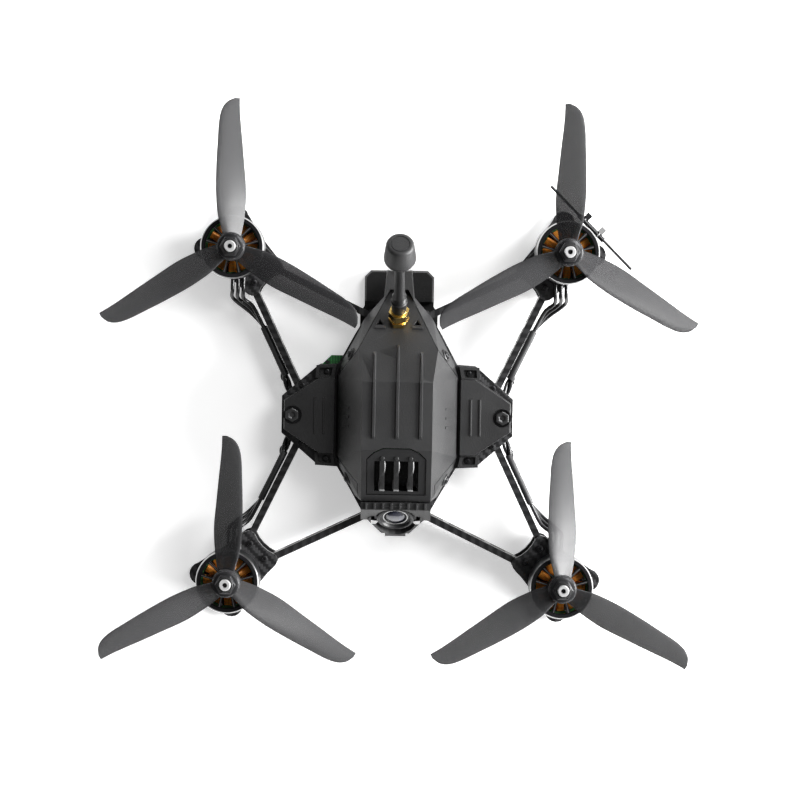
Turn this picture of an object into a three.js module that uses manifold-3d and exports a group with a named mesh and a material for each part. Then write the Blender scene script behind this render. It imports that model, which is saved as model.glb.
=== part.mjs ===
// Quadcopter drone with an enclosed pod, upright carbon arms, outrunner motors and three-bladed propellers.
// Millimetres, +Z up, the nose towards -Y,
// so the drone's own left is +X. The origin is the middle of the flat underside of the battery tray.
import * as THREE from 'three';
import { mergeVertices } from 'three/addons/utils/BufferGeometryUtils.js';
import { ConvexGeometry } from 'three/addons/geometries/ConvexGeometry.js';
import Module from 'manifold-3d';

const wasm = await Module();
wasm.setup();

// ---------------------------------------------------------------- driving dimensions
const MOTOR_OFFSET = 73.5; // motor axes stand at +-this in X and in Y, a 208 mm wheelbase
const PROP_RADIUS = 64.75; // 5.1 inch propellers
const GAP = 0.2; // left between pieces that touch

const TRAY_THICK = 2;
const PLATE_THICK = 2; // carbon plates
const BAR_HEIGHT = 11; // arms and braces stand upright between the plates
const BAR_THICK = 3;
const BAR_MEET = 38.3; // arms point at (+-this, 0), braces at (0, +-this)
const BAR_START = 7; // distance from the motor axis to the bar's outer end
const BAR_END_GAP = 3; // from the bar's inner end to the middle plane

const LOW_Z = TRAY_THICK + GAP; // bottom plate and foot plates
const BAR_Z = LOW_Z + PLATE_THICK + GAP;
const HIGH_Z = BAR_Z + BAR_HEIGHT + GAP; // top plate and motor plates
const DECK = HIGH_Z + PLATE_THICK + GAP; // everything above the frame starts here, at 17.8

const BELL_RADIUS = 13.9;
const MOTOR_HEIGHT = 18; // mounting face to the top of the bell
const SHAFT_RADIUS = 2.5;
const SHAFT_TOP = 31.2; // above the mounting face
const HUB_RADIUS = 6.2;
const HUB_HEIGHT = 6.6;
const BLADES = 3;

const POD_TOP = 50;
const NOSE_BACK = -13.5; // where the level top turns down to the nose
const NOSE_FRONT = -36.4;
const NOSE_LOW = 39;
const RIDGE_Y = 16; // where the level top turns down to the tail
const TAIL_SLOPE = THREE.MathUtils.degToRad(35);
const WALL = 1.8;
const RIDGE_RISE = 0.9; // the three ribs on the canopy's top
const RIDGE_HALF = 0.85;
const WING_TOP = 24;
const WING_BOLT_X = 46.6;

const ANTENNA_Y = 42.2; // where the antenna's axis meets the tail slope
const CAMERA_UPTILT = 38; // degrees above level
const CAMERA_PIVOT = new THREE.Vector3(0, -38.7, 26.6);

// ---------------------------------------------------------------- solids
function toSolid(geometry) {
  const g = geometry.clone();
  for (const name of Object.keys(g.attributes)) if (name !== 'position') g.deleteAttribute(name);
  const merged = mergeVertices(g, 1e-4);
  return new wasm.Manifold(new wasm.Mesh({
    numProp: 3,
    vertProperties: new Float32Array(merged.attributes.position.array),
    triVerts: new Uint32Array(merged.index.array),
  }));
}

function toGeometry(manifold) {
  const m = manifold.getMesh();
  const g = new THREE.BufferGeometry();
  g.setAttribute('position', new THREE.BufferAttribute(new Float32Array(m.vertProperties), 3));
  g.setIndex(new THREE.BufferAttribute(new Uint32Array(m.triVerts), 1));
  g.computeVertexNormals();
  return g;
}

const join = (...geometries) => toGeometry(geometries.map(toSolid).reduce((a, b) => a.add(b)));
const cut = (base, ...tools) => toGeometry(tools.map(toSolid).reduce((a, b) => a.subtract(b), toSolid(base)));
const common = (a, b) => toGeometry(toSolid(a).intersect(toSolid(b)));

// The other hand of a geometry, across the plane x = 0.
function mirrorX(geometry) {
  const g = (geometry.index ? geometry.toNonIndexed() : geometry.clone()).scale(-1, 1, 1);
  const p = g.attributes.position.array;
  for (let i = 0; i < p.length; i += 9)
    for (let k = 0; k < 3; k++) [p[i + k], p[i + 3 + k]] = [p[i + 3 + k], p[i + k]];
  return g;
}

const box = (x0, x1, y0, y1, z0, z1) =>
  new THREE.BoxGeometry(x1 - x0, y1 - y0, z1 - z0).translate((x0 + x1) / 2, (y0 + y1) / 2, (z0 + z1) / 2);

// A disc or prism about +Z from z0 to z1; 6 sides make a hexagon.
const disc = (radius, z0, z1, sides = 24) =>
  new THREE.CylinderGeometry(radius, radius, z1 - z0, sides).rotateX(Math.PI / 2).translate(0, 0, (z0 + z1) / 2);

const hexRadius = (acrossFlats) => acrossFlats / Math.sqrt(3);

// A ring or turned piece about +Z from its closed profile of [radius, height] points.
function turned(profile, sides = 32) {
  const points = [...profile, profile[0]].map(([r, z]) => new THREE.Vector2(r, z));
  return new THREE.LatheGeometry(points, sides).rotateX(Math.PI / 2);
}

function outline(points) {
  return new THREE.Shape(points.map(([x, y]) => new THREE.Vector2(x, y)));
}

function slab(shape, z0, z1, curveSegments = 5) {
  return new THREE.ExtrudeGeometry(shape, { depth: z1 - z0, bevelEnabled: false, curveSegments }).translate(0, 0, z0);
}

// Both hands of a list of corner points on the +X side, for a hull or an outline that is the same on both sides.
const bothSides = (points) => points.flatMap(([x, ...rest]) => [[x, ...rest], [-x, ...rest]]);
const hull = (points) => new ConvexGeometry(points.map((p) => new THREE.Vector3(...p)));
const closedBothSides = (right) => outline([...right, ...right.slice().reverse().map(([x, y]) => [-x, y])]);

function hole(shape, x, y, radius) {
  shape.holes.push(new THREE.Path().absarc(x, y, radius, 0, Math.PI * 2, true));
}

// A round lead of the given radius through a few points.
function lead(points, radius, steps) {
  const path = new THREE.CatmullRomCurve3(points.map((p) => new THREE.Vector3(...p)));
  const section = new THREE.Shape();
  section.absarc(0, 0, radius, 0, Math.PI * 2);
  return new THREE.ExtrudeGeometry(section, { steps, extrudePath: path, curveSegments: 3, bevelEnabled: false });
}

// ---------------------------------------------------------------- materials
const material = (color, roughness, metalness = 0) => new THREE.MeshStandardMaterial({ color, roughness, metalness });
const CARBON = material(0x1c1c1e, 0.45);
const PLASTIC = material(0x1f1f20, 0.6);
const GRILLE = material(0x2a2a2c, 0.5);
const RUBBER = material(0x151516, 0.8);
const BLACK_METAL = material(0x18181a, 0.35, 0.9);
const STEEL = material(0x8b8a88, 0.3, 1);
const BRASS = material(0xd6a93a, 0.25, 1);
const COPPER = material(0xb8641c, 0.4, 0.7);
const SMOKE = material(0x4a4a4c, 0.2);
const GLASS = material(0x101014, 0.05);
const BOARD = material(0x1f6a2a, 0.5);

const model = new THREE.Group();

function place(name, geometry, mat, parent = model) {
  const mesh = new THREE.Mesh(geometry, mat);
  mesh.name = name;
  parent.add(mesh);
  return mesh;
}

const CORNERS = [
  { name: 'front_right', sx: -1, sy: -1, turns: 'clockwise' },
  { name: 'front_left', sx: 1, sy: -1, turns: 'anticlockwise' },
  { name: 'rear_right', sx: -1, sy: 1, turns: 'anticlockwise' },
  { name: 'rear_left', sx: 1, sy: 1, turns: 'clockwise' },
];

// ---------------------------------------------------------------- frame plates, arms and braces
const WING_PLATE = [[51.5, -8.3], [51.5, 8.3], [35, 22.5], [26.5, 23]];
const BODY_REAR = [[19.5, 36], [13, 47], [5, 50]];
const BODY_FRONT = [[4, -47.5], [13, -46.5], [20, -34], [26.5, -23], [35, -22.5]];

function framePlate(z0) {
  const shape = closedBothSides([...BODY_FRONT, ...WING_PLATE, ...BODY_REAR]);
  const openings = [box(-7, 7, -6, 6, z0 - 1, z0 + PLATE_THICK + 1)]; // leads pass between the decks in the middle
  for (const side of [-1, 1]) {
    hole(shape, side * WING_BOLT_X, 0, 1.7);
    for (const end of [-1, 1])
      openings.push(box(side * 20 - 1.3, side * 20 + 1.3, end * 12 - 5, end * 12 + 5, z0 - 1, z0 + PLATE_THICK + 1));
  }
  return cut(slab(shape, z0, z0 + PLATE_THICK, 4), ...openings);
}

// An upright bar from near the motor axis to near its meeting point, lightened by slots.
function uprightBar(length) {
  const slots = [0, 1, 2, 3].map((i) => 20 + i * 10.5)
    .map((x) => box(x, x + 7.5, -BAR_THICK, BAR_THICK, BAR_Z + 3.4, BAR_Z + BAR_HEIGHT - 3.4));
  return cut(box(0, length, -BAR_THICK / 2, BAR_THICK / 2, BAR_Z, BAR_Z + BAR_HEIGHT), ...slots);
}

function addFrame() {
  const tray = closedBothSides([[14, -40], [17.5, -36], [17.5, 46], [15.6, 49], [15.6, 62.2], [12.8, 65]]);
  const strapSlots = [];
  for (const end of [-1, 1])
    for (const side of [-1, 1])
      strapSlots.push(box(side * 11.5 - 3.5, side * 11.5 + 3.5, end * 22 - 1.4, end * 22 + 1.4, -1, TRAY_THICK + 1));
  const tail = hull(bothSides([[15.6, 51, 1], [15.6, 62.2, 1], [12.8, 65, 1], [14.8, 51, 6], [14.8, 61.8, 6], [12.4, 64.2, 6]]));
  place('battery_tray', cut(join(slab(tray, 0, TRAY_THICK), tail), ...strapSlots), PLASTIC);
  place('bottom_plate', framePlate(LOW_Z), CARBON);
  place('top_plate', framePlate(HIGH_Z), CARBON);

  const reach = Math.hypot(MOTOR_OFFSET - BAR_MEET, MOTOR_OFFSET);
  const spread = Math.atan2(MOTOR_OFFSET - BAR_MEET, MOTOR_OFFSET);
  const length = reach - BAR_START - BAR_END_GAP / Math.cos(spread);
  for (const { name, sx, sy } of CORNERS) {
    const inwards = { arm: [-sx * Math.sin(spread), -sy * Math.cos(spread)], brace: [-sx * Math.cos(spread), -sy * Math.sin(spread)] };
    for (const [kind, [dx, dy]] of Object.entries(inwards)) {
      const bar = place(`${kind}_${name}`, uprightBar(length), CARBON);
      bar.position.set(sx * MOTOR_OFFSET + dx * BAR_START, sy * MOTOR_OFFSET + dy * BAR_START, 0);
      bar.rotation.z = Math.atan2(dy, dx);
    }
  }
}

// ---------------------------------------------------------------- motor plates
// Outlines are drawn with +X pointing from the motor axis to the middle of the drone.
const TOE_X = 21.6;
const TOE_Y = 6.6;
const FLANK_Y = 10.3;

function inwardToes(shape) {
  shape.lineTo(17, -FLANK_Y);
  shape.quadraticCurveTo(TOE_X, -FLANK_Y, TOE_X, -TOE_Y);
  shape.bezierCurveTo(TOE_X - 1.8, -2.5, TOE_X - 1.8, 2.5, TOE_X, TOE_Y);
  shape.quadraticCurveTo(TOE_X, FLANK_Y, 17, FLANK_Y);
}

function plateScrewHoles(shape) {
  for (let i = 0; i < 4; i++) hole(shape, 8 * Math.cos((i + 0.5) * Math.PI / 2), 8 * Math.sin((i + 0.5) * Math.PI / 2), 1.6);
  for (const side of [-1, 1]) hole(shape, 17, side * 4.6, 0.9);
}

function motorPlate() {
  const shape = new THREE.Shape();
  const back = THREE.MathUtils.degToRad(52);
  shape.absarc(0, 0, 13, back, -back + Math.PI * 2, false);
  inwardToes(shape);
  plateScrewHoles(shape);
  return slab(shape, HIGH_Z, HIGH_Z + PLATE_THICK, 4);
}

const LOBE_REACH = 19.3;
const LOBE_RADIUS = 5;

function footPlate() {
  const shape = new THREE.Shape();
  shape.moveTo(17, FLANK_Y);
  shape.lineTo(6, 11.5);
  const away = (3 * Math.PI) / 4;
  const centre = LOBE_REACH - LOBE_RADIUS;
  for (const side of [1, -1]) {
    const [x, y] = [centre * Math.cos(away), side * centre * Math.sin(away)];
    shape.absarc(x, y, LOBE_RADIUS, side * away - Math.PI / 2 + 0.25, side * away + Math.PI / 2 - 0.25, false);
    if (side > 0) shape.quadraticCurveTo(-10.2, 0, -12.6, -4.6);
  }
  shape.lineTo(6, -11.5);
  inwardToes(shape);
  plateScrewHoles(shape);
  return slab(shape, LOW_Z, LOW_Z + PLATE_THICK, 4);
}

// ---------------------------------------------------------------- motors and propellers
// Heights are above the motor's mounting face.
function motorBase() {
  const tube = turned([[2.8, 0.4], [4.1, 0.4], [4.1, 13.6], [2.8, 13.6]], 12);
  const foot = turned([[2.8, 0], [12.4, 0], [12.4, 1.8], [9, 2.2], [2.8, 2.2]], 16);
  return join(foot, tube);
}

const TEETH = 12;
const STATOR_LOW = 3.6;
const STATOR_HIGH = 12.6;

// Core with twelve teeth, each as wide as its coil and ending in a broad shoe.
function stator() {
  const shape = new THREE.Shape();
  const tooth = [[5.6, -1.1], [11.2, -1.1], [11.2, -2.6], [12.2, -2.6], [12.2, 2.6], [11.2, 2.6], [11.2, 1.1], [5.6, 1.1]];
  for (let i = 0; i < TEETH; i++) {
    const angle = (i * 2 * Math.PI) / TEETH;
    for (const [x, y] of tooth) {
      const corner = new THREE.Vector2(x, y).rotateAround(new THREE.Vector2(), angle);
      if (shape.currentPoint.lengthSq() === 0) shape.moveTo(corner.x, corner.y);
      else shape.lineTo(corner.x, corner.y);
    }
  }
  hole(shape, 0, 0, 4.4);
  return slab(shape, STATOR_LOW, STATOR_HIGH, 6);
}

// Rotor can with its magnet ring, three pairs of spokes and the shaft that it is pressed on.
function bell() {
  const inner = BELL_RADIUS - 0.9;
  const wall = turned([[inner, 2.8], [BELL_RADIUS, 2.8], [BELL_RADIUS, MOTOR_HEIGHT - 0.8],
    [BELL_RADIUS - 0.8, MOTOR_HEIGHT], [BELL_RADIUS - 2.2, MOTOR_HEIGHT], [inner, 13.6]], 20);
  const hub = turned([[SHAFT_RADIUS - 0.2, 13.9], [5.6, 13.9], [5.6, MOTOR_HEIGHT + 0.2], [SHAFT_RADIUS - 0.2, MOTOR_HEIGHT + 0.2]], 12);
  const shaft = disc(SHAFT_RADIUS, 3.2, SHAFT_TOP, 12);
  const parts = [wall, hub, shaft];
  for (let pair = 0; pair < 3; pair++)
    for (const lean of [-0.36, 0.36]) {
      const angle = -Math.PI / 2 + (pair * 2 * Math.PI) / 3 + lean;
      parts.push(box(4, BELL_RADIUS - 1, -0.7, 0.7, 14.6, MOTOR_HEIGHT - 0.4).rotateZ(angle));
    }
  return join(...parts);
}

// Blade section at a station: [radius, leading edge, trailing edge, twist in degrees, thickness].
// The edges are measured across the blade, as seen from above.
const BLADE_STATIONS = [
  [4.5, 3.4, -4.0, 30, 2.6],
  [14, 5.9, -5.5, 30, 1.6],
  [24, 6.8, -6.0, 25, 1.3],
  [36, 6.8, -5.0, 20, 1.1],
  [46, 6.4, -4.1, 17, 1.0],
  [59.4, 4.9, -2.9, 14, 0.8],
  [62.8, 2.6, -2.8, 13.5, 0.7],
  [PROP_RADIUS - 0.25, -0.6, -2.8, 13, 0.6],
];

// A lens-shaped section lofted along +Y; the leading edge is towards -X, for anticlockwise turning.
function blade(hubMiddle) {
  const around = [[0, 0], [0.25, 0.5], [0.62, 0.42], [1, 0.04], [0.62, -0.34], [0.25, -0.38]];
  const positions = [];
  for (const [radius, lead, trail, twist, thick] of BLADE_STATIONS)
    for (const [along, lift] of around) {
      const across = -lead + along * (lead - trail);
      const slope = Math.tan(THREE.MathUtils.degToRad(twist));
      positions.push(across, radius, hubMiddle - (across + 0.4) * slope + lift * thick);
    }
  const n = around.length;
  const index = [];
  for (let s = 0; s + 1 < BLADE_STATIONS.length; s++)
    for (let k = 0; k < n; k++) {
      const [a, b] = [s * n + k, s * n + ((k + 1) % n)];
      index.push(a, b, a + n, b, b + n, a + n);
    }
  const last = (BLADE_STATIONS.length - 1) * n;
  for (let k = 1; k + 1 < n; k++) index.push(0, k + 1, k, last, last + k, last + k + 1);
  const g = new THREE.BufferGeometry();
  g.setAttribute('position', new THREE.BufferAttribute(new Float32Array(positions), 3));
  g.setIndex(index);
  return g;
}

const HUB_LOW = MOTOR_HEIGHT + 0.2 + GAP;

function propeller(turns) {
  const middle = HUB_LOW + HUB_HEIGHT / 2;
  const parts = [disc(HUB_RADIUS, HUB_LOW, HUB_LOW + HUB_HEIGHT, 16)];
  for (let i = 0; i < BLADES; i++) parts.push(blade(middle).rotateZ((i * 2 * Math.PI) / BLADES));
  const made = cut(join(...parts), disc(SHAFT_RADIUS + 0.3, 0, 40, 12));
  return turns === 'clockwise' ? mirrorX(made) : made;
}

function propNut() {
  const low = HUB_LOW + HUB_HEIGHT + GAP;
  const solid = join(disc(5.7, low, low + 1.1, 18), disc(hexRadius(8), low + 0.9, low + 3.9, 6), disc(3.5, low + 3.7, low + 4.6, 16));
  return cut(solid, disc(2.8, low - 1, low + 9, 16));
}

// Three leads leave the motor's foot towards the body, gather in a sleeve along the arm's outer side, and spread again.
function motorLeads(sx, sy) {
  const spread = Math.atan2(MOTOR_OFFSET - BAR_MEET, MOTOR_OFFSET);
  const along = [-Math.sin(spread), -Math.cos(spread)];
  const outward = [Math.cos(spread), -Math.sin(spread)];
  const beside = BAR_THICK / 2 + 0.4 + 1.5; // bar face to the sleeve's middle
  const at = (distance, offset, z) => [
    sx * (MOTOR_OFFSET + along[0] * distance + outward[0] * offset),
    sy * (MOTOR_OFFSET + along[1] * distance + outward[1] * offset),
    z,
  ];
  const [sleeveStart, sleeveEnd] = [37, 61];
  const middle = BAR_Z + BAR_HEIGHT / 2;
  const parts = [];
  for (let i = 0; i < 3; i++) {
    const rise = (1 - i) * 2.1;
    const exitX = sx * (MOTOR_OFFSET - 4.2 + i * 2.4);
    const exit = [exitX, sy * (MOTOR_OFFSET - 13.4), DECK + 1.2];
    const lip = [exitX, sy * (MOTOR_OFFSET - 18.6), DECK + 1.4];
    const drop = [exitX, sy * (MOTOR_OFFSET - 22.4), HIGH_Z - 1.2 - i * 0.8];
    parts.push(lead([exit, lip, drop, at(27 + i, beside + 0.4 + i * 1.1, middle + rise), at(sleeveStart, beside, middle + rise), at(sleeveStart + 4, beside, middle + rise)], 0.85, 5));
    parts.push(lead([at(sleeveEnd - 3, beside, middle + rise), at(sleeveEnd + 1, beside, middle + rise), at(sleeveEnd + 6, beside + 1.2 - i * 0.5, middle + rise * 0.8), at(sleeveEnd + 11, beside + 2.6 - i, middle + rise * 0.6)], 0.85, 3));
  }
  const [ax, ay] = at(sleeveStart, beside, 0);
  const [bx, by] = at(sleeveEnd, beside, 0);
  const sleeve = box(0, sleeveEnd - sleeveStart, -1.45, 1.45, middle - 3.4, middle + 3.4)
    .rotateZ(Math.atan2(by - ay, bx - ax)).translate(ax, ay, 0);
  return join(sleeve, ...parts);
}

function addMotors() {
  for (const { name, sx, sy, turns } of CORNERS) {
    const unit = new THREE.Group();
    unit.position.set(sx * MOTOR_OFFSET, sy * MOTOR_OFFSET, 0);
    model.add(unit);
    for (const [kind, made] of [['motor_plate', motorPlate()], ['foot_plate', footPlate()]])
      place(`${kind}_${name}`, made, CARBON, unit).rotation.z = Math.atan2(-sy, -sx);
    const motor = new THREE.Group();
    motor.position.z = DECK;
    unit.add(motor);
    place(`motor_base_${name}`, motorBase(), BLACK_METAL, motor);
    place(`stator_${name}`, stator(), COPPER, motor);
    place(`bell_${name}`, bell(), BLACK_METAL, motor);
    place(`propeller_${name}`, propeller(turns), SMOKE, motor);
    place(`prop_nut_${name}`, propNut(), BLACK_METAL, motor);
    place(`motor_leads_${name}`, motorLeads(sx, sy), RUBBER);
  }
}

// ---------------------------------------------------------------- pod
const slopeZ = (y) => POD_TOP - (y - RIDGE_Y) * Math.tan(TAIL_SLOPE);

// Corner points of the pod's faceted skin, moved in by the wall's thickness for its inside.
function podForm(inset) {
  const top = POD_TOP - inset;
  const drop = inset / Math.cos(TAIL_SLOPE);
  const s = inset * 1.15;
  return hull(bothSides([
    [15.3 - s, RIDGE_Y - inset * 0.4, top],
    [15.3 - s, NOSE_BACK, top],
    [17.4 - s, 30.2 - inset * 0.7, slopeZ(30.2 - inset * 0.7) - drop],
    [4.2 - inset * 0.8, 55 - inset * 2.4, slopeZ(55 - inset * 2.4) - drop],
    [17 - s, -29, 36.5 - inset],
    [15.2 - s, NOSE_FRONT + inset, NOSE_LOW - inset * 1.3],
    [26.3 - s, 17.2, WING_TOP],
    [26.3 - s, -17.5, WING_TOP],
    [27.2 - s, 18, DECK], [24.8 - s, 25 - inset * 0.5, DECK], [15.2 - s, 43.3 - inset, DECK],
    [6 - inset * 0.8, 54 - inset * 2, DECK], [27.2 - s, -17.8, DECK], [25.4 - s, -23, DECK],
    [18.6 - s, -35.5 + inset, DECK], [15.6 - s, -36.6 + inset, DECK],
  ]));
}

// The upper shell's share of the pod, seen from above, grown by the seam's width.
function upperShare(grow) {
  const right = [[16.6, -38], [16.8 + grow, -29], [26.8 + grow, -17.8], [26.8 + grow, 17.4], [17.5 + grow, 29.6], [3.8 + grow, 56 + grow]];
  return slab(closedBothSides(right), DECK + 2.2 - grow, 60);
}

// Stands a piece drawn about +Z on the camera's axis, with its tilt changed by a few degrees for clearances.
const aim = (g, tilt = 0) => g.rotateX(THREE.MathUtils.degToRad(90 - CAMERA_UPTILT - tilt))
  .translate(CAMERA_PIVOT.x, CAMERA_PIVOT.y, CAMERA_PIVOT.z);

// The room that the camera needs between its lowest and highest tilt.
const CAMERA_TILTS = [-12, -6, 0, 6];

function cameraRoom() {
  const drum = disc(9, -10.8, 10.8, 20).rotateY(Math.PI / 2).translate(0, CAMERA_PIVOT.y, CAMERA_PIVOT.z);
  return join(drum, ...CAMERA_TILTS.map((tilt) => aim(disc(8.95, 2, 14, 20), tilt)));
}

const HOOD = [[13, -33.6], [13, -17.4], [9.9, -14.4], [6, -12.6]];
const ANTENNA_BASE = new THREE.Vector3(0, ANTENNA_Y, slopeZ(ANTENNA_Y));
const leanBack = (g) => g.rotateX(-TAIL_SLOPE).translate(ANTENNA_BASE.x, ANTENNA_BASE.y, ANTENNA_BASE.z);

function ridges() {
  const bars = [];
  for (const [x, rearY] of [[0, 33], [-10.2, 30], [10.2, 30]]) {
    bars.push(hull([[-RIDGE_HALF, -9.5], [RIDGE_HALF, -9.5]].flatMap(([dx, y]) => [
      [x + dx, y, POD_TOP - 0.5], [x + dx * 0.6, y + 2, POD_TOP + RIDGE_RISE],
      [x + dx * 0.6, RIDGE_Y, POD_TOP + RIDGE_RISE], [x + dx, RIDGE_Y, POD_TOP - 0.5],
    ])));
    bars.push(hull([-RIDGE_HALF, RIDGE_HALF].flatMap((dx) => [
      [x + dx, RIDGE_Y, POD_TOP - 0.5], [x + dx * 0.6, RIDGE_Y, POD_TOP + RIDGE_RISE],
      [x + dx * 0.3, rearY - 2.5, slopeZ(rearY - 2.5) + RIDGE_RISE], [x + dx, rearY, slopeZ(rearY) - 0.6],
    ])));
  }
  return bars;
}

function addPod() {
  const skin = cut(podForm(0), podForm(WALL));
  const openFloor = box(-24.5, 24.5, -33, 40, DECK - 1, DECK + 2);
  const hood = slab(closedBothSides(HOOD), 30, 60);
  const antennaHole = leanBack(disc(3.5, -8, 8, 24));
  const upper = cut(common(skin, upperShare(0)), hood, antennaHole, cameraRoom());
  const triangles = [-1, 1].map((side) => leanBack(disc(1.9, -4, 4, 3).rotateZ(Math.PI).translate(side * 8.2, -1.4, 0)));
  place('canopy', cut(join(upper, ...ridges()), ...triangles), PLASTIC);

  const neck = hull(bothSides([[7.4, 47, DECK], [6.6, 49, 27.5], [5.7, 65, DECK + 0.4], [5.4, 64.4, 23.4]]));
  const lower = cut(join(cut(skin, openFloor), neck), upperShare(0.25), podForm(WALL), cameraRoom());
  place('lower_shell', largest(lower), PLASTIC);
}

// The largest of the pieces that a cut leaves, without its slivers. Triangles that share a corner are one piece.
function largest(geometry) {
  const corners = geometry.index.array;
  const position = geometry.attributes.position;
  const parent = Array.from({ length: position.count }, (_, i) => i);
  const root = (i) => {
    while (parent[i] !== i) i = parent[i];
    return i;
  };
  const volumes = new Map();
  for (let i = 0; i < corners.length; i += 3)
    for (const other of [corners[i + 1], corners[i + 2]]) parent[root(other)] = root(corners[i]);
  for (let i = 0; i < corners.length; i += 3) {
    const [a, b, c] = [0, 1, 2].map((k) => new THREE.Vector3().fromBufferAttribute(position, corners[i + k]));
    const piece = root(corners[i]);
    volumes.set(piece, (volumes.get(piece) ?? 0) + a.dot(b.cross(c)) / 6);
  }
  const [biggest] = [...volumes].reduce((a, b) => (a[1] > b[1] ? a : b));
  const kept = geometry.clone();
  kept.setIndex([...corners].filter((_, i) => root(corners[i - (i % 3)]) === biggest));
  return toGeometry(toSolid(kept));
}

// Side cover over the arms' inner ends: a raised lid with a bolt recess, and a low open pocket at each end.
function wingCover() {
  const lid = [[28, -17.3], [34.8, -17.3], [50.6, -6.5], [50.6, 6.5], [34.8, 17.3], [28, 17.3]];
  const rim = hull(lid.flatMap(([x, y]) => [[x, y, DECK], [x - (x > 28 ? 0.6 : 0), y * 0.965, WING_TOP]]));
  const inside = hull(lid.flatMap(([x, y]) => {
    const inX = x > 28 ? x - 1.8 : x + 1.4;
    return [[inX, y * 0.9, DECK - 1], [inX, y * 0.9, WING_TOP - 1.6]];
  }));
  const boss = disc(4.6, DECK, WING_TOP - 0.3, 20).translate(WING_BOLT_X - 0.2, 0, 0);
  const recess = disc(4.1, WING_TOP - 2.4, WING_TOP + 2, 24).translate(WING_BOLT_X - 0.2, 0, 0);
  const boltHole = disc(1.9, DECK - 2, WING_TOP + 2, 20).translate(WING_BOLT_X, 0, 0);
  const pockets = [-1, 1].map((end) => cut(
    hull([[26.4, 16.4], [34.6, 16.4], [34.2, 22.2], [25.2, 22.6]].flatMap(([x, y]) => [[x + 2, end * y, DECK], [x + 2, end * y, DECK + 3.4]])),
    hull([[29.6, 17.6], [35.2, 17.6], [34.9, 21], [29, 21.2]].flatMap(([x, y]) => [[x, end * y, DECK + 1.2], [x, end * y, DECK + 5]])),
  ));
  const ridgesOnLid = [32.6, 36.6].map((x) => hull([-8.4, 8.4].flatMap((y) => [
    [x - 0.5, y, WING_TOP - 0.4], [x + 0.5, y, WING_TOP - 0.4],
    [x - 0.3, y * 0.94, WING_TOP + 0.5], [x + 0.3, y * 0.94, WING_TOP + 0.5]])));
  return cut(join(cut(rim, inside), common(boss, rim), ...pockets, ...ridgesOnLid), recess, boltHole);
}

function wingBolt() {
  const seat = WING_TOP - 2.4 + GAP;
  const head = cut(disc(hexRadius(5.5), seat, seat + 3.1, 6), disc(1.5, seat + 1.8, seat + 5, 6));
  return join(head, disc(1.5, LOW_Z - 0.4, seat + 0.5, 16));
}

function addWings() {
  const left = wingCover();
  place('wing_cover_left', left, PLASTIC);
  place('wing_cover_right', mirrorX(left), PLASTIC);
  for (const [name, side] of [['left', 1], ['right', -1]])
    place(`wing_bolt_${name}`, wingBolt(), STEEL).position.x = side * WING_BOLT_X;
}

// Air intake set into the nose: a frame that follows the nose's slope, with three bowed fins across its opening.
function intakeGrille() {
  const slope = (POD_TOP - NOSE_LOW) / (NOSE_BACK - NOSE_FRONT);
  const noseZ = (y) => POD_TOP + (y - NOSE_BACK) * slope;
  const level = (y) => Math.min(POD_TOP, noseZ(y));
  const inX = 12.7;
  const body = hull(bothSides([[inX, -33.3], [inX, -17.6], [9.7, -14.8], [5.9, -13]].flatMap(([x, y]) => [
    [x, y, level(y) - 0.4], [x, y, level(y) - 3.2]])));
  const opening = box(-9.6, 9.6, -31.8, -18.4, 30, 60);
  const fins = [-6.2, 0, 6.2].map((x) => {
    const arch = new THREE.Shape();
    arch.moveTo(-32.6, noseZ(-32.6) - 2.6);
    arch.quadraticCurveTo(-25, noseZ(-25) + 1.6, -17.6, noseZ(-17.6) - 2.6);
    arch.lineTo(-17.6, noseZ(-17.6) - 0.6);
    arch.quadraticCurveTo(-25, noseZ(-25) + 3.2, -32.6, noseZ(-32.6) - 0.6);
    return slab(arch, -1.1, 1.1, 6).rotateY(Math.PI / 2).rotateX(Math.PI / 2).translate(x, 0, 0);
  });
  return cut(join(cut(body, opening), ...fins), cameraRoom());
}

// ---------------------------------------------------------------- camera
// The nose block: a cradle with a hexagonal collar round the lens, whose cheeks hold the camera's pins.
function cameraMount() {
  const block = hull(bothSides([
    [15.3, -37, DECK], [15.3, -37, 40.4], [15.3, -40.2, 39.8], [15.3, -45.4, 30.5], [15.3, -45.6, DECK], [14, -46.4, DECK],
  ]));
  const collar = aim(disc(12.4, 2, 8.4, 6).rotateZ(Math.PI / 6));
  const lug = aim(box(-4.6, 4.6, -12.4, -9.6, 3, 8.8));
  const pinHoles = disc(1.5, -13, 13, 12).rotateY(Math.PI / 2).translate(0, CAMERA_PIVOT.y, CAMERA_PIVOT.z);
  const behind = box(-40, 40, -36.9, 40, -10, 80);
  const below = box(-40, 40, -90, 40, -10, DECK);
  return largest(cut(join(block, collar, lug), cameraRoom(), pinHoles, behind, below));
}

function cameraBody() {
  const shell = box(-9.3, 9.3, -7, 7, -5, 3.4);
  const pins = disc(1.2, -12.4, 12.4, 12).rotateY(Math.PI / 2);
  return aim(join(shell, pins));
}

function cameraLens() {
  const ring = turned([[3, 3.6], [7.9, 3.6], [8.2, 4.2], [8.2, 7.8], [7.6, 8.2], [7, 8.2], [6.2, 6.8], [3, 6]], 20);
  const front = turned([[0, 3.6], [4.2, 3.6], [4.2, 6.4], [2.6, 7.2], [0, 7.5]], 12);
  return aim(join(ring, front));
}

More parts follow.
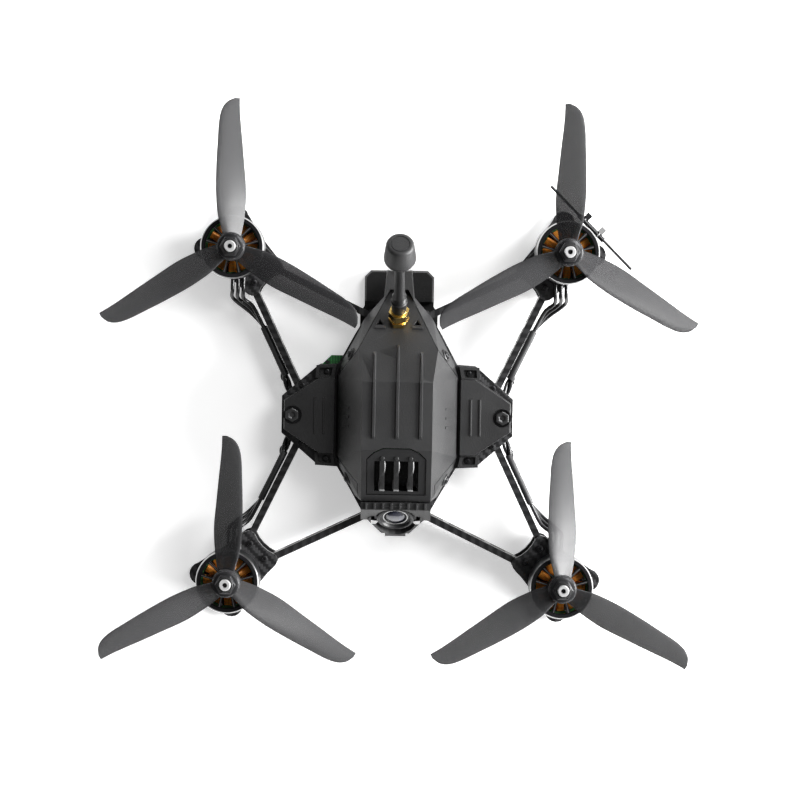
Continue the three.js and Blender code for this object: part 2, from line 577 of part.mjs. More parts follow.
// ---------------------------------------------------------------- antenna
function addAntenna() {
  const bore = [[0, -6]];
  const connector = join(
    turned([...bore, [3, -6], [3, 9], [0, 9]], 20),
    disc(hexRadius(8), GAP, 3.4, 6),
    disc(hexRadius(8), 4, 9.2, 6),
  );
  place('antenna_connector', leanBack(connector), BRASS);
  const mast = [[0, 9.4], [3.3, 9.4], [3.3, 14], [3.6, 14.4], [3.6, 15.4], [3.1, 15.8], [3.1, 18.6], [3.3, 19], [3.3, 19.8],
    [2.5, 20.4], [2.2, 30.6], [2.1, 45.4], [0, 45.4]];
  place('antenna_mast', leanBack(turned(mast, 10)), RUBBER);
  const cap = [[0, 45.7], [2.2, 45.7], [2.2, 44.4], [5.2, 44.4], [6.5, 45.6], [6.9, 47.2], [5.9, 56], [5.2, 56.8], [0, 56.8]];
  place('antenna_cap', leanBack(turned(cap, 16)), PLASTIC);
}

// ---------------------------------------------------------------- electronics
function addElectronics() {
  const legs = (reach, z0, z1) => [-1, 1].flatMap((x) => [-1, 1].map((y) => disc(1.8, z0, z1, 8).translate(x * reach, y * reach, 0)));
  const lowBoard = DECK + 5;
  place('flight_controller', join(
    box(-16.5, 16.5, -16.5, 16.5, lowBoard, lowBoard + 1.6),
    box(-4, 4, -4, 4, lowBoard + 1.4, lowBoard + 2.8),
    box(8, 12, -9, 9, lowBoard + 1.4, lowBoard + 3.2),
    ...legs(13, DECK, lowBoard + 0.2),
  ), BOARD);
  const highBoard = lowBoard + 9;
  place('video_transmitter', join(
    box(-12, 12, -12, 12, highBoard, highBoard + 1.4),
    box(-8, 8, -8, 8, highBoard + 1.2, highBoard + 4.6),
    ...legs(9, lowBoard + 3.2, highBoard + 0.2),
  ), BOARD);
  place('receiver_board', join(
    slab(outline([[-36.4, 20.2], [-29.8, 26.6], [-24, 26.6], [-24, 15], [-36.4, 15]]), HIGH_Z - 2.4, HIGH_Z - 1),
    box(-34, -27, 16, 22, HIGH_Z - 1.2, HIGH_Z - GAP),
  ), BOARD);
  const rodMiddle = MOTOR_OFFSET + 12.2;
  const rodLength = 52;
  const rod = place('receiver_antenna', join(
    disc(0.8, -rodLength / 2, rodLength / 2, 8).rotateY(Math.PI / 2),
    box(-1.6, 4.4, -1.8, 1.8, -0.9, 1.9),
  ), RUBBER);
  rod.position.set(rodMiddle, rodMiddle, BAR_Z + 1.2);
  rod.rotation.z = -Math.PI / 4;
}

addFrame();
addMotors();
addPod();
addWings();
place('intake_grille', intakeGrille(), GRILLE);
place('camera_mount', cameraMount(), PLASTIC);
place('camera_body', cameraBody(), BLACK_METAL);
place('camera_lens', cameraLens(), GLASS);
addAntenna();
addElectronics();

export default model;
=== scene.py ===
import math

import bmesh
import bpy
from mathutils import Matrix, Vector


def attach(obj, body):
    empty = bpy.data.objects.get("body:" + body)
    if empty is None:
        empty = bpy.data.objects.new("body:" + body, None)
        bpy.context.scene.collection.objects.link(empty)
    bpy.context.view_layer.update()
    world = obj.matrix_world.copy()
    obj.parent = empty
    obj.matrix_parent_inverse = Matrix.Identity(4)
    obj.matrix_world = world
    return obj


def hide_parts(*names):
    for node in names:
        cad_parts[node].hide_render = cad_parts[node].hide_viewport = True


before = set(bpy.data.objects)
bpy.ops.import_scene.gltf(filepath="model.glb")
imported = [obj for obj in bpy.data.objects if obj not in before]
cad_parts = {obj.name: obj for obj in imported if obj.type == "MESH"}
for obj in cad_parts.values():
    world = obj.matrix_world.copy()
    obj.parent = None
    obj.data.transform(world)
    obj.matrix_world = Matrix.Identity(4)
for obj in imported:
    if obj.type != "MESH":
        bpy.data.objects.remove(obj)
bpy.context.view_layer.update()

MM = 0.001
MOTOR_OFFSET = 73.5
DECK = 17.8            # the motors' mounting face
PLATE_TOP = 17.6
FOOT_UNDERSIDE = 2.2
BELL_RADIUS = 13.9
BELL_TOP = 18.0
SHAFT_RADIUS = 2.5
SHAFT_TOP = 31.2
HUB_LOW = 18.4
HUB_HEIGHT = 6.6
HUB_RADIUS = 6.2
PROP_TIP = 64.5
BAR_MEET = 38.3
BAR_MIDDLE = 9.9       # height of the middle of the upright bars
BLADES = 3
TEETH = 12
MAGNETS = 14
LEAD_RADIUS = 0.88
POD_TOP = 50
RIDGE_Y = 16           # where the pod's level top turns down to the tail
NOSE_BACK = -13.5      # where it turns down to the nose
NOSE_FRONT = -36.4     # where the nose's slope ends, at NOSE_LOW
NOSE_LOW = 39
TAIL_SLOPE = math.radians(35)
ANTENNA_Y = 42.2
ANTENNA_BASE = Vector((0, ANTENNA_Y, POD_TOP - (ANTENNA_Y - RIDGE_Y) * math.tan(TAIL_SLOPE)))
CAMERA_PIVOT = Vector((0, -38.7, 26.6))
CAMERA_UPTILT = math.radians(38)

CORNERS = [
    ("front_right", -1, -1, "clockwise"),
    ("front_left", 1, -1, "anticlockwise"),
    ("rear_right", -1, 1, "anticlockwise"),
    ("rear_left", 1, 1, "clockwise"),
]


# ---------------------------------------------------------------- materials
class Graph:
    """A material's node tree, with short calls for the nodes used here."""

    def __init__(self, name, colour, roughness, metallic=0.0):
        self.material = bpy.data.materials.new(name)
        self.material.use_nodes = True
        self.tree = self.material.node_tree
        self.shader = self.tree.nodes["Principled BSDF"]
        self.shader.inputs["Base Color"].default_value = (*colour, 1)
        self.shader.inputs["Roughness"].default_value = roughness
        self.shader.inputs["Metallic"].default_value = metallic
        self.where = self.tree.nodes.new("ShaderNodeTexCoord").outputs["Object"]

    def link(self, source, target):
        self.tree.links.new(source, target)

    def math(self, operation, a, b=None):
        node = self.tree.nodes.new("ShaderNodeMath")
        node.operation = operation
        for socket, value in zip(node.inputs, (a, b)):
            if value is None:
                continue
            if isinstance(value, (int, float)):
                socket.default_value = value
            else:
                self.link(value, socket)
        return node.outputs[0]

    def along(self, direction):
        node = self.tree.nodes.new("ShaderNodeVectorMath")
        node.operation = "DOT_PRODUCT"
        self.link(self.where, node.inputs[0])
        node.inputs[1].default_value = direction
        return node.outputs["Value"]

    def noise(self, scale, detail=4.0):
        node = self.tree.nodes.new("ShaderNodeTexNoise")
        node.inputs["Scale"].default_value = scale
        node.inputs["Detail"].default_value = detail
        self.link(self.where, node.inputs["Vector"])
        return node.outputs["Fac"]

    def blend(self, factor, low, high):
        node = self.tree.nodes.new("ShaderNodeMix")
        node.data_type = "RGBA"
        self.link(factor, node.inputs["Factor"])
        node.inputs["A"].default_value = (*low, 1)
        node.inputs["B"].default_value = (*high, 1)
        return node.outputs["Result"]

    def spread(self, value, low, high):
        node = self.tree.nodes.new("ShaderNodeMapRange")
        self.link(value, node.inputs["Value"])
        node.inputs["From Min"].default_value = 0.3
        node.inputs["From Max"].default_value = 0.7
        node.inputs["To Min"].default_value = low
        node.inputs["To Max"].default_value = high
        return node.outputs["Result"]

    def bump(self, height, strength, distance):
        node = self.tree.nodes.new("ShaderNodeBump")
        node.inputs["Strength"].default_value = strength
        node.inputs["Distance"].default_value = distance
        self.link(height, node.inputs["Height"])
        self.link(node.outputs["Normal"], self.shader.inputs["Normal"])


def scaled(colour, factor):
    return tuple(min(1.0, c * factor) for c in colour)


def surface(name, colour, roughness, metallic=0.0, grain=0.0, grain_scale=2600.0, wear=0.25, coat=0.0,
            specular=0.5):
    """A plain finish: fine moulded or cast grain, with soft patches of handling in its colour and gloss."""
    g = Graph(name, colour, roughness, metallic)
    patches = g.noise(55.0)
    tint = g.blend(patches, scaled(colour, 1 - wear), scaled(colour, 1 + wear))
    g.link(tint, g.shader.inputs["Base Color"])
    gloss = g.spread(patches, roughness * (1 - wear * 0.5), min(1.0, roughness * (1 + wear * 0.5)))
    g.link(gloss, g.shader.inputs["Roughness"])
    if grain:
        g.bump(g.noise(grain_scale, 2.0), grain, 0.0002)
    g.shader.inputs["Coat Weight"].default_value = coat
    g.shader.inputs["Specular IOR Level"].default_value = specular
    return g.material


def carbon(name, u_direction, v_direction, pitch=0.0011, light=0.028):
    """Two-by-two twill: each tow runs over two and under two, one step along in the next row."""
    g = Graph(name, (0.03, 0.03, 0.032), 0.35)
    u = g.math("DIVIDE", g.along(u_direction), pitch)
    v = g.math("DIVIDE", g.along(v_direction), pitch)
    step = g.math("ADD", g.math("FLOOR", u), g.math("FLOOR", v))
    warp = g.math("LESS_THAN", g.math("FLOORED_MODULO", step, 4.0), 2.0)
    weft = g.math("SUBTRACT", 1.0, warp)
    crown_u = g.math("SINE", g.math("MULTIPLY", g.math("FRACT", u), math.pi))
    crown_v = g.math("SINE", g.math("MULTIPLY", g.math("FRACT", v), math.pi))
    crown = g.math("ADD", g.math("MULTIPLY", warp, crown_u), g.math("MULTIPLY", weft, crown_v))
    tint = g.blend(warp, (0.008, 0.008, 0.0085), (light, light, light * 1.05))
    g.link(tint, g.shader.inputs["Base Color"])
    g.link(g.math("ADD", 0.28, g.math("MULTIPLY", warp, 0.16)), g.shader.inputs["Roughness"])
    g.bump(crown, 0.35, 0.0001)
    g.shader.inputs["Coat Weight"].default_value = 0.25
    return g.material


def smoke_plastic():
    """Smoky clear moulding that lets a little of what is behind it through."""
    g = Graph("smoke_plastic", (0.036, 0.036, 0.0375), 0.3)
    flow = g.noise(40.0)
    g.link(g.spread(flow, 0.3, 0.4), g.shader.inputs["Roughness"])
    g.shader.inputs["Alpha"].default_value = 0.82
    g.shader.inputs["Specular IOR Level"].default_value = 0.25
    return g.material


def circuit_board():
    """Green solder mask with fine straight tracks."""
    g = Graph("circuit_board", (0.03, 0.16, 0.04), 0.35)
    rows = g.math("FRACT", g.math("DIVIDE", g.along((1, 0, 0)), 0.0012))
    columns = g.math("FRACT", g.math("DIVIDE", g.along((0, 1, 0)), 0.0017))
    tracks = g.math("MULTIPLY", g.math("LESS_THAN", rows, 0.3), g.math("LESS_THAN", columns, 0.8))
    g.link(g.blend(tracks, (0.02, 0.13, 0.035), (0.06, 0.3, 0.08)), g.shader.inputs["Base Color"])
    g.bump(tracks, 0.3, 0.00005)
    return g.material


SPREAD = math.atan2(MOTOR_OFFSET - BAR_MEET, MOTOR_OFFSET)
FLAT_CARBON = carbon("carbon_plate", (1, 0, 0), (0, 1, 0), pitch=0.0012)
ARM_CARBON = carbon("carbon_arm", (0, 1 / math.cos(SPREAD), 0), (0, 0, 1), light=0.014)
BRACE_CARBON = carbon("carbon_brace", (1 / math.cos(SPREAD), 0, 0), (0, 0, 1), light=0.014)
PLASTIC = surface("moulded_plastic", (0.016, 0.016, 0.0165), 0.44, grain=0.5)
TRAY = surface("tray_plastic", (0.006, 0.006, 0.0062), 0.55, grain=0.5, grain_scale=1500, specular=0.3)
GRILLE = surface("grille_plastic", (0.014, 0.014, 0.0145), 0.42, grain=0.2, specular=0.4)
LIGHT_GRILLE = surface("louvre_plastic", (0.22, 0.22, 0.222), 0.34, grain=0.15)
RUBBER = surface("mast_rubber", (0.01, 0.01, 0.0105), 0.42, grain=0.2, specular=0.4)
INSULATION = surface("lead_insulation", (0.012, 0.012, 0.013), 0.25, wear=0.15)
SLEEVE = surface("shrunk_sleeve", (0.02, 0.02, 0.021), 0.55, grain=0.3, grain_scale=1200)
ANODISED = surface("black_anodised", (0.02, 0.02, 0.022), 0.34, metallic=0.7, grain=0.12)
# Bright silver metal used as painted highlight: the bell's rim chamfer, lower edge and spoke tops are black
# anodised, and this metal stands in for the lamp's highlight on them. It also makes a thin ring in the lens
# barrel.
ALUMINIUM_AND_HIGHLIGHT = surface("aluminium_and_painted_highlight", (0.42, 0.42, 0.42), 0.3, metallic=1.0, wear=0.15)
STEEL = surface("bolt_steel", (0.12, 0.12, 0.122), 0.36, metallic=1.0, grain=0.1)
BLACK_STEEL = surface("black_screw", (0.05, 0.05, 0.052), 0.28, metallic=0.85)
# Partly painted reflection: the shaft's own colour is steel, but its pale diffuse grey, only half metallic,
# stands in for the bright reflection on its top end.
SHAFT_STEEL = surface("shaft_steel", (0.6, 0.6, 0.6), 0.35, metallic=0.55, wear=0.1)
MAGNET = surface("nickel_magnet", (0.4, 0.38, 0.35), 0.3, metallic=1.0)
BRASS = surface("brass", (0.85, 0.6, 0.2), 0.18, metallic=1.0, wear=0.12)
COPPER = surface("copper_windings", (1.0, 0.34, 0.05), 0.3, metallic=0.2, wear=0.2)
ENAMEL = surface("green_enamel", (0.05, 0.17, 0.05), 0.35, grain=0.2)
SMOKE = smoke_plastic()
LENS_RING = surface("lens_ring", (0.014, 0.014, 0.015), 0.4, grain=0.15)
LENS_GLASS = surface("coated_glass", (0.01, 0.012, 0.03), 0.04, wear=0.05, coat=1.0)
BOARD = circuit_board()
CHIP = surface("chip", (0.02, 0.02, 0.02), 0.4)
WHITE = surface("white_connector", (0.7, 0.7, 0.66), 0.45)
TIE = surface("grey_tie", (0.2, 0.2, 0.2), 0.45)


# ---------------------------------------------------------------- building pieces
def at(x, y, z=0.0):
    return Matrix.Translation(Vector((x, y, z)) * MM)


def turn_z(angle):
    return Matrix.Rotation(angle, 4, "Z")


class Piece:
    """One object made of several closed forms, each with its own finish. Forms are given in millimetres."""

    def __init__(self, name, *materials):
        self.name = name
        self.materials = materials
        self.mesh = bmesh.new()

    def form(self, points, faces, material, place=Matrix()):
        seen = {}
        vertices = []
        for point in points:
            key = tuple(round(c, 5) for c in point)
            if key not in seen:
                seen[key] = self.mesh.verts.new(place @ (Vector(point) * MM))
            vertices.append(seen[key])
        made = []
        for face in faces:
            corners = list(dict.fromkeys(vertices[i] for i in face))
            if len(corners) > 2:
                made.append(self.mesh.faces.new(corners))
        for face in made:
            face.material_index = self.materials.index(material)
            face.smooth = True
        bmesh.ops.recalc_face_normals(self.mesh, faces=made)
        return self

    def turned(self, profile, material, place=Matrix(), segments=48, closed=False):
        """A form of revolution about +Z from (radius, height) points, ending on the axis unless closed."""
        n = len(profile)
        points = []
        for i in range(segments):
            angle = 2 * math.pi * i / segments
            points += [(r * math.cos(angle), r * math.sin(angle), z) for r, z in profile]
        faces = []
        for i in range(segments):
            j = (i + 1) % segments
            for k in range(n if closed else n - 1):
                m = (k + 1) % n
                faces.append((i * n + k, j * n + k, j * n + m, i * n + m))
        return self.form(points, faces, material, place)

    def prism(self, outline, low, high, material, place=Matrix(), taper=1.0):
        n = len(outline)
        points = [(x, y, low) for x, y in outline] + [(x * taper, y * taper, high) for x, y in outline]
        sides = [(k, (k + 1) % n, n + (k + 1) % n, n + k) for k in range(n)]
        caps = [tuple(range(n - 1, -1, -1)), tuple(range(n, 2 * n))]
        return self.form(points, sides + caps, material, place)

    def block(self, x0, x1, y0, y1, z0, z1, material, place=Matrix()):
        return self.prism([(x0, y0), (x1, y0), (x1, y1), (x0, y1)], z0, z1, material, place)

    def tube(self, route, radius, material, place=Matrix(), sides=8, closed=False):
        """A round bar along a route, with flat ends unless the route closes on itself."""
        count = len(route)
        route = [Vector(p) for p in route]
        points = []
        side = None
        for i, here in enumerate(route):
            after = route[(i + 1) % count] if closed or i + 1 < count else here
            before = route[i - 1] if closed or i > 0 else here
            ahead = (after - before).normalized()
            if side is None:
                side = ahead.orthogonal().normalized()
            side = (side - ahead * side.dot(ahead)).normalized()
            across = ahead.cross(side)
            for k in range(sides):
                angle = 2 * math.pi * k / sides
                points.append(here + (side * math.cos(angle) + across * math.sin(angle)) * radius)
        faces = []
        for i in range(count if closed else count - 1):
            j = (i + 1) % count
            for k in range(sides):
                m = (k + 1) % sides
                faces.append((i * sides + k, i * sides + m, j * sides + m, j * sides + k))
        if not closed:
            faces.append(tuple(range(sides)))
            faces.append(tuple(range((count - 1) * sides, count * sides)))
        return self.form(points, faces, material, place)

    def finish(self, body, replaced=(), bevel=0.0, sharp=32):
        data = bpy.data.meshes.new(self.name)
        self.mesh.to_mesh(data)
        self.mesh.free()
        data.set_sharp_from_angle(angle=math.radians(sharp))
        for material in self.materials:
            data.materials.append(material)
        made = bpy.data.objects.new(self.name, data)
        bpy.context.scene.collection.objects.link(made)
        if bevel:
            soften(made, bevel)
        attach(made, body)
        if replaced:
            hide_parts(*replaced)
        return made


def soften(piece, width):
    """Small rounded edges, as every moulded or machined corner has."""
    weld = piece.modifiers.new("weld", "WELD")
    weld.merge_threshold = 1e-6
    rounding = piece.modifiers.new("rounding", "BEVEL")
    rounding.width = width * MM
    rounding.segments = 2
    rounding.limit_method = "ANGLE"
    rounding.angle_limit = math.radians(28)
    rounding.use_clamp_overlap = True


def through(points, steps=6):
    """A smooth route through points, as a Catmull-Rom curve."""
    points = [Vector(p) for p in points]
    padded = [points[0] * 2 - points[1], *points, points[-1] * 2 - points[-2]]
    route = []
    for a, b, c, d in zip(padded, padded[1:], padded[2:], padded[3:]):
        for i in range(steps):
            t = i / steps
            route.append(0.5 * (2 * b + (c - a) * t + (2 * a - 5 * b + 4 * c - d) * t ** 2
                                + (3 * b - a - 3 * c + d) * t ** 3))
    return route + [points[-1]]


def hexagon(across_flats):
    radius = across_flats / math.sqrt(3)
    return [(radius * math.cos(k * math.pi / 3), radius * math.sin(k * math.pi / 3)) for k in range(6)]


def socket_screw(piece, place, radius=1.5, height=1.3):
    """Button head with a round socket, standing on z = 0 of its place."""
    profile = [(0, 0), (radius, 0), (radius, height * 0.45), (radius * 0.8, height * 0.9),
               (radius * 0.55, height), (radius * 0.5, height), (radius * 0.5, height * 0.35),
               (0, height * 0.35)]
    piece.turned(profile, BLACK_STEEL, place, segments=24)


# ---------------------------------------------------------------- finishes of the kept solids
def paint(node, material, bevel):
    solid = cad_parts[node]
    solid.data.materials.clear()
    solid.data.materials.append(material)
    if bevel:
        soften(solid, bevel)


def finish_kept_solids():
    for node, material, bevel in [
        ("battery_tray", TRAY, 0.3), ("bottom_plate", FLAT_CARBON, 0.15), ("top_plate", FLAT_CARBON, 0.15),
        ("canopy", PLASTIC, 0.45), ("lower_shell", PLASTIC, 0.35), ("wing_cover_left", PLASTIC, 0.3),
        ("wing_cover_right", PLASTIC, 0.3), ("camera_mount", PLASTIC, 0.3), ("camera_body", ANODISED, 0.3),
        ("intake_grille", GRILLE, 0.2), ("wing_bolt_left", STEEL, 0.25), ("wing_bolt_right", STEEL, 0.25),
        ("flight_controller", BOARD, 0.0), ("video_transmitter", BOARD, 0.0),
        ("receiver_board", BOARD, 0.0),
    ]:
        paint(node, material, bevel)
    for name, *_ in CORNERS:
        paint("arm_" + name, ARM_CARBON, 0.12)
        paint("brace_" + name, BRACE_CARBON, 0.12)
        paint("motor_plate_" + name, FLAT_CARBON, 0.12)
        paint("foot_plate_" + name, FLAT_CARBON, 0.12)
        paint("motor_base_" + name, ANODISED, 0.2)


# ---------------------------------------------------------------- motors
def coil_loop(radius):
    """A rounded rectangle of wire round a tooth, at one distance from the motor's axis."""
    half_width = min(1.45, radius * math.tan(math.pi / TEETH) - 0.62)
    half_height = 4.3
    middle = 8.1
    corner = min(0.7, half_width * 0.6)
    loop = []
    for quarter in range(4):
        y = (half_width - corner) * (1 if quarter in (0, 3) else -1)
        z = (half_height - corner) * (1 if quarter in (0, 1) else -1)
        for step in range(4):
            angle = (quarter + step / 3) * math.pi / 2
            loop.append((radius, y + corner * math.cos(angle), middle + z + corner * math.sin(angle)))
    return loop


def add_stator(name, place):
    piece = Piece("windings_" + name, COPPER, ENAMEL)
    piece.turned([(4.4, 4.2), (5.5, 4.2), (5.5, 12.2), (4.4, 12.2)], ENAMEL, place, closed=True)
    for tooth in range(TEETH):
        spot = place @ turn_z(2 * math.pi * tooth / TEETH)
        piece.block(5.3, 11.2, -0.7, 0.7, 4.6, 11.8, ENAMEL, spot)
        piece.prism([(11.1, -2.3), (11.9, -2.75), (12.2, -2.6), (12.2, 2.6), (11.9, 2.75), (11.1, 2.3)],
                    4.4, 12.0, ENAMEL, spot)
        for turn in range(8):
            piece.tube(coil_loop(6.1 + turn * 0.64), 0.31, COPPER, spot, sides=6, closed=True)
    piece.finish("frame", ["stator_" + name])


def add_bell(name, place):
    piece = Piece("rotor_can_" + name, ANODISED, ALUMINIUM_AND_HIGHLIGHT, MAGNET, SHAFT_STEEL)
    inner = BELL_RADIUS - 0.7
    piece.turned([(inner, 2.8), (BELL_RADIUS, 2.8), (BELL_RADIUS, 17.2), (13.3, BELL_TOP), (12.0, BELL_TOP),
                  (11.6, 17.5), (11.7, 15.6), (12.6, 13.9), (inner, 13.6)], ANODISED, place, 72, True)
    # Painted highlight: thin bright metal rings on the black bell's top chamfer and bottom edge, where the
    # lamp's highlight falls.
    for low, high in [((13.93, 17.25), (13.5, 17.85)), ((13.93, 2.9), (13.93, 3.3))]:
        (r0, z0), (r1, z1) = low, high
        piece.turned([(r0, z0), (r1, z1), (r1 - 0.2, z1 - 0.05), (r0 - 0.2, z0)], ALUMINIUM_AND_HIGHLIGHT, place, 72, True)
    for magnet in range(MAGNETS):
        spot = place @ turn_z(2 * math.pi * magnet / MAGNETS)
        piece.block(12.45, inner + 0.1, -2.3, 2.3, 3.6, 13.4, MAGNET, spot)
    piece.turned([(2.4, 14.0), (4.6, 14.0), (5.5, 15.4), (5.5, 17.7), (5.1, 18.2), (2.4, 18.2)],
                 ANODISED, place, 40, True)
    for pair in range(3):
        for lean in (-0.36, 0.36):
            angle = -math.pi / 2 + pair * 2 * math.pi / 3 + lean
            sweep = -0.09 if lean > 0 else 0.09
            outline = [(4.4, -0.8), (8, -0.42 + sweep * 4), (12.4, -0.7 + sweep * 10),
                       (12.4, 0.7 + sweep * 10), (8, 0.42 + sweep * 4), (4.4, 0.8)]
            piece.prism(outline, 14.9, 17.4, ANODISED, place @ turn_z(angle))
            # Painted highlight: a thin bright metal strip along each black spoke's top stands in for the
            # lamp's highlight on its edges.
            edge = [(5.5, -0.2), (8, -0.12 + sweep * 4), (12.2, -0.2 + sweep * 10),
                    (12.2, 0.2 + sweep * 10), (8, 0.12 + sweep * 4), (5.5, 0.2)]
            piece.prism(edge, 17.3, 17.46, ALUMINIUM_AND_HIGHLIGHT, place @ turn_z(angle))
    shaft = [(0, 3.2), (SHAFT_RADIUS, 3.2), (SHAFT_RADIUS, 26.0)]
    for thread in range(9):
        z = 26.2 + thread * 0.5
        shaft += [(SHAFT_RADIUS - 0.2, z), (SHAFT_RADIUS, z + 0.25)]
    shaft += [(SHAFT_RADIUS - 0.3, SHAFT_TOP), (1.1, SHAFT_TOP), (1.0, 28.6)]
    piece.turned(shaft + [(0, 28.6)], SHAFT_STEEL, place, 32)
    piece.turned([(0, 28.5), (0.95, 28.5), (0.95, 29.4), (0, 29.4)], ANODISED, place, 20)
    piece.finish("rotor_" + name, ["bell_" + name])


# Stations along a blade: radius, leading edge, trailing edge, twist in degrees, thickness.
BLADE = [
    (4.5, 3.4, -4.0, 30, 2.6),
    (9, 4.6, -4.8, 31, 2.1),
    (14, 5.9, -5.5, 30, 1.6),
    (24, 6.8, -6.0, 25, 1.3),
    (36, 6.8, -5.0, 20, 1.1),
    (46, 6.4, -4.1, 17, 1.0),
    (54, 6.0, -3.3, 15, 0.9),
    (59.4, 4.9, -2.9, 14, 0.8),
    (62.8, 2.6, -2.8, 13.5, 0.7),
    (PROP_TIP, -0.6, -2.8, 13, 0.5),
]
SECTION = [(0, 0), (0.04, 0.3), (0.15, 0.52), (0.32, 0.6), (0.55, 0.48), (0.8, 0.22), (1, 0.03),
           (0.8, -0.1), (0.55, -0.3), (0.32, -0.4), (0.15, -0.38), (0.04, -0.22)]


def station(position):
    """The blade's stations joined by a smooth curve, read at a fractional index."""
    i = min(int(position), len(BLADE) - 2)
    t = position - i
    a, b, c, d = (BLADE[max(0, min(len(BLADE) - 1, k))] for k in (i - 1, i, i + 1, i + 2))
    return [
        0.5 * (2 * q + (r - p) * t + (2 * p - 5 * q + 4 * r - s) * t * t
               + (3 * q - p - 3 * r + s) * t ** 3)
        for p, q, r, s in zip(a, b, c, d)
    ]


def add_propeller(name, place, turns):
    piece = Piece("blades_" + name, SMOKE)
    middle = HUB_LOW + HUB_HEIGHT / 2
    side = -1 if turns == "clockwise" else 1
    steps = 5
    sections = [station(i / steps) for i in range((len(BLADE) - 1) * steps + 1)]
    n = len(SECTION)
    for number in range(BLADES):
        points = []
        for radius, lead, trail, twist, thick in sections:
            slope = math.tan(math.radians(twist))
            for along, lift in SECTION:
                across = -lead + along * (lead - trail)
                points.append((side * across, radius, middle - (across + 0.4) * slope + lift * thick))
        faces = [(s * n + k, s * n + (k + 1) % n, (s + 1) * n + (k + 1) % n, (s + 1) * n + k)
                 for s in range(len(sections) - 1) for k in range(n)]
        faces += [tuple(range(n)), tuple(range((len(sections) - 1) * n, len(sections) * n))]
        piece.form(points, faces, SMOKE, place @ turn_z(number * 2 * math.pi / BLADES))
    low, high = HUB_LOW, HUB_LOW + HUB_HEIGHT
    hub = [(2.75, low), (4.6, low), (4.7, low + 0.6), (5.5, low + 0.6), (5.6, low),
           (HUB_RADIUS - 0.3, low), (HUB_RADIUS, low + 0.4), (HUB_RADIUS, high - 0.5),
           (HUB_RADIUS - 0.5, high), (2.75, high)]
    piece.turned(hub, SMOKE, place, 56, True)
    piece.finish("rotor_" + name, ["propeller_" + name], sharp=50)


def add_nut(name, place):
    piece = Piece("lock_nut_" + name, BLACK_STEEL, RUBBER)
    low = HUB_LOW + HUB_HEIGHT + 0.15
    flange = [(2.75, low), (5.6, low), (5.7, low + 0.3), (5.6, low + 0.9), (4.5, low + 1.3),
              (2.75, low + 1.3)]
    piece.turned(flange, BLACK_STEEL, place, 48, True)
    for tooth in range(24):
        spot = place @ turn_z(tooth * math.pi / 12)
        piece.block(4.9, 5.75, -0.22, 0.22, low + 0.1, low + 1.0, BLACK_STEEL, spot)
    outline = hexagon(8)
    inside = [(2.7 * math.cos(k * math.pi / 3), 2.7 * math.sin(k * math.pi / 3)) for k in range(6)]
    rings = [(outline, low + 1.0, 1.0), (outline, low + 3.5, 1.0), (outline, low + 3.95, 0.9),
             (inside, low + 3.95, 1.0), (inside, low + 1.0, 1.0)]
    points = [(x * scale, y * scale, z) for ring, z, scale in rings for x, y in ring]
    faces = [(r * 6 + k, r * 6 + (k + 1) % 6, (r + 1) % 5 * 6 + (k + 1) % 6, (r + 1) % 5 * 6 + k)
             for r in range(5) for k in range(6)]
    piece.form(points, faces, BLACK_STEEL, place)
    collar = [(2.6, low + 3.6), (3.5, low + 3.6), (3.5, low + 4.3), (3.2, low + 4.6), (2.6, low + 4.6)]
    piece.turned(collar, RUBBER, place, 32, True)
    piece.finish("rotor_" + name, ["prop_nut_" + name], bevel=0.12)


def add_leads(name, sx, sy):
    """Three leads from the motor's foot, in a sleeve on the arm's outer side and twisted after it."""
    piece = Piece("wiring_" + name, INSULATION, SLEEVE)
    along = (-math.sin(SPREAD), -math.cos(SPREAD))
    outward = (math.cos(SPREAD), -math.sin(SPREAD))
    beside = 3.4

    def spot(distance, offset, z):
        return (sx * (MOTOR_OFFSET + along[0] * distance + outward[0] * offset),
                sy * (MOTOR_OFFSET + along[1] * distance + outward[1] * offset), z)

    sleeve_start, sleeve_end = 37, 61
    for i in range(3):
        rise = (1 - i) * 2.1
        exit_x = sx * (MOTOR_OFFSET - 4.2 + i * 2.4)
        route = [(exit_x, sy * (MOTOR_OFFSET - 12.6), DECK + 1.2),
                 (exit_x, sy * (MOTOR_OFFSET - 18.6), DECK + 1.4),
                 (exit_x, sy * (MOTOR_OFFSET - 22.4), 14.4 - i * 0.8),
                 spot(27 + i, beside + 0.4 + i * 1.1, BAR_MIDDLE + rise),
                 spot(sleeve_start, beside, BAR_MIDDLE + rise),
                 spot(sleeve_start + 4, beside, BAR_MIDDLE + rise)]
        piece.tube(through(route, 8), LEAD_RADIUS, INSULATION, sides=12)
        twist = [spot(sleeve_end - 3, beside, BAR_MIDDLE + rise)]
        for step in range(7):
            phase = i * 2 * math.pi / 3 + math.pi / 2 - step * 0.5
            twist.append(spot(sleeve_end + step * 1.8, beside + 0.9 + 1.05 * math.cos(phase),
                              BAR_MIDDLE + 1.05 * math.sin(phase)))
        piece.tube(through(twist, 4), LEAD_RADIUS, INSULATION, sides=12)
    n = 20
    ring = []
    for k in range(n):
        angle = 2 * math.pi * k / n
        end = 2.1 if math.sin(angle) > 0 else -2.1
        ring.append((1.5 * math.cos(angle), end + 1.4 * math.sin(angle)))
    stretch = [(0, 0.9), (0.6, 1.0), (6, 1.0), (12, 0.96), (18, 1.0), (23.4, 1.0), (24, 0.9)]
    points = [spot(sleeve_start + d, beside + x * s, BAR_MIDDLE + z * s)
              for d, s in stretch for x, z in ring]
    faces = [(s * n + k, s * n + (k + 1) % n, (s + 1) * n + (k + 1) % n, (s + 1) * n + k)
             for s in range(len(stretch) - 1) for k in range(n)]
    faces += [tuple(range(n)), tuple(range(len(points) - n, len(points)))]
    piece.form(points, faces, SLEEVE)
    piece.finish("frame", ["motor_leads_" + name], sharp=60)


